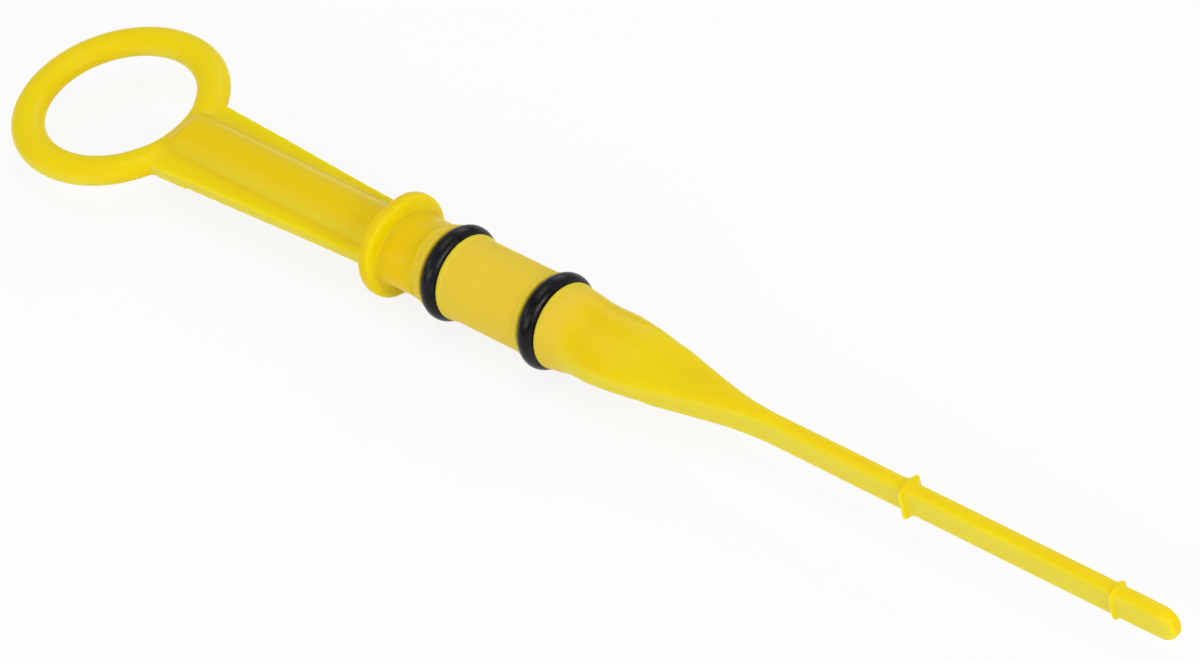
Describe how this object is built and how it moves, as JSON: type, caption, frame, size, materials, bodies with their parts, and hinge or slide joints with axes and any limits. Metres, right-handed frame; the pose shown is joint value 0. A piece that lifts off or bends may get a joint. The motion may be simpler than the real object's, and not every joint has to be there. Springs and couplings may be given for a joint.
{
  "type": "engine oil dipstick",
  "caption": "Plastic engine oil dipstick with a finger ring, finned grip, stop collar, seal barrel with O-rings and a measuring rod with raised level marks.",
  "frame": {"origin": "on the stick's axis, in the tip-side face of the stop collar that seats on the mouth of the dipstick tube", "axes": "+X along the stick towards its tip, +Y across the flat of the finger ring, +Z out of the flat of the finger ring"},
  "size_m": [0.2187, 0.0342, 0.0148],
  "materials": {
    "yellow_plastic": "satin moulded nylon, slightly translucent",
    "black_rubber": "smooth, slightly oily nitrile rubber"
  },
  "bodies": {
    "root": {"dipstick": "yellow_plastic", "upper_oring": "black_rubber", "lower_oring": "black_rubber"}
  },
  "joints": []
}
